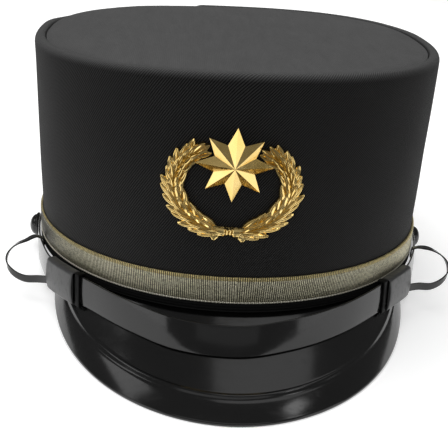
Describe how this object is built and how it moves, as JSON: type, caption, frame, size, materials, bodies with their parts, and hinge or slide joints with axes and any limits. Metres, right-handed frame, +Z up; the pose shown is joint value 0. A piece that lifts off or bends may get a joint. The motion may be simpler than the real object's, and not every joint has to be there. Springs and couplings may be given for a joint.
{
  "type": "conductor cap",
  "caption": "Stiff band or conductor's cap: flat-topped flaring cloth crown, gold braid band, sloping glossy peak, strap with side buttons, gilt wreath badge.",
  "frame": {"origin": "centre of the bounding box's footprint, on the surface the cap stands on", "axes": "+Z up; -Y is the cap's front, where the peak points; +X is the wearer's left"},
  "size_m": [0.19, 0.2532, 0.1171],
  "materials": {
    "twill": "black twill cloth, stiffened",
    "top_cloth": "black cloth on a stiff flat top",
    "gold_braid": "woven metallic braid",
    "hem_cloth": "black matte binding",
    "peak_patent": "high-gloss patent",
    "strap_vinyl": "glossy patent strap",
    "keeper_vinyl": "satin black",
    "button_plastic": "glossy domed",
    "badge_gilt": "polished gilt"
  },
  "bodies": {
    "root": {"crown_side": "twill", "crown_top": "top_cloth", "braid_band": "gold_braid", "bottom_binding": "hem_cloth", "peak": "peak_patent", "front_strap": "strap_vinyl", "slide_left": "strap_vinyl", "slide_right": "strap_vinyl", "keeper_left": "keeper_vinyl", "keeper_right": "keeper_vinyl", "button_left": "button_plastic", "button_right": "button_plastic", "chin_strap": "strap_vinyl", "badge": "badge_gilt"}
  },
  "joints": []
}
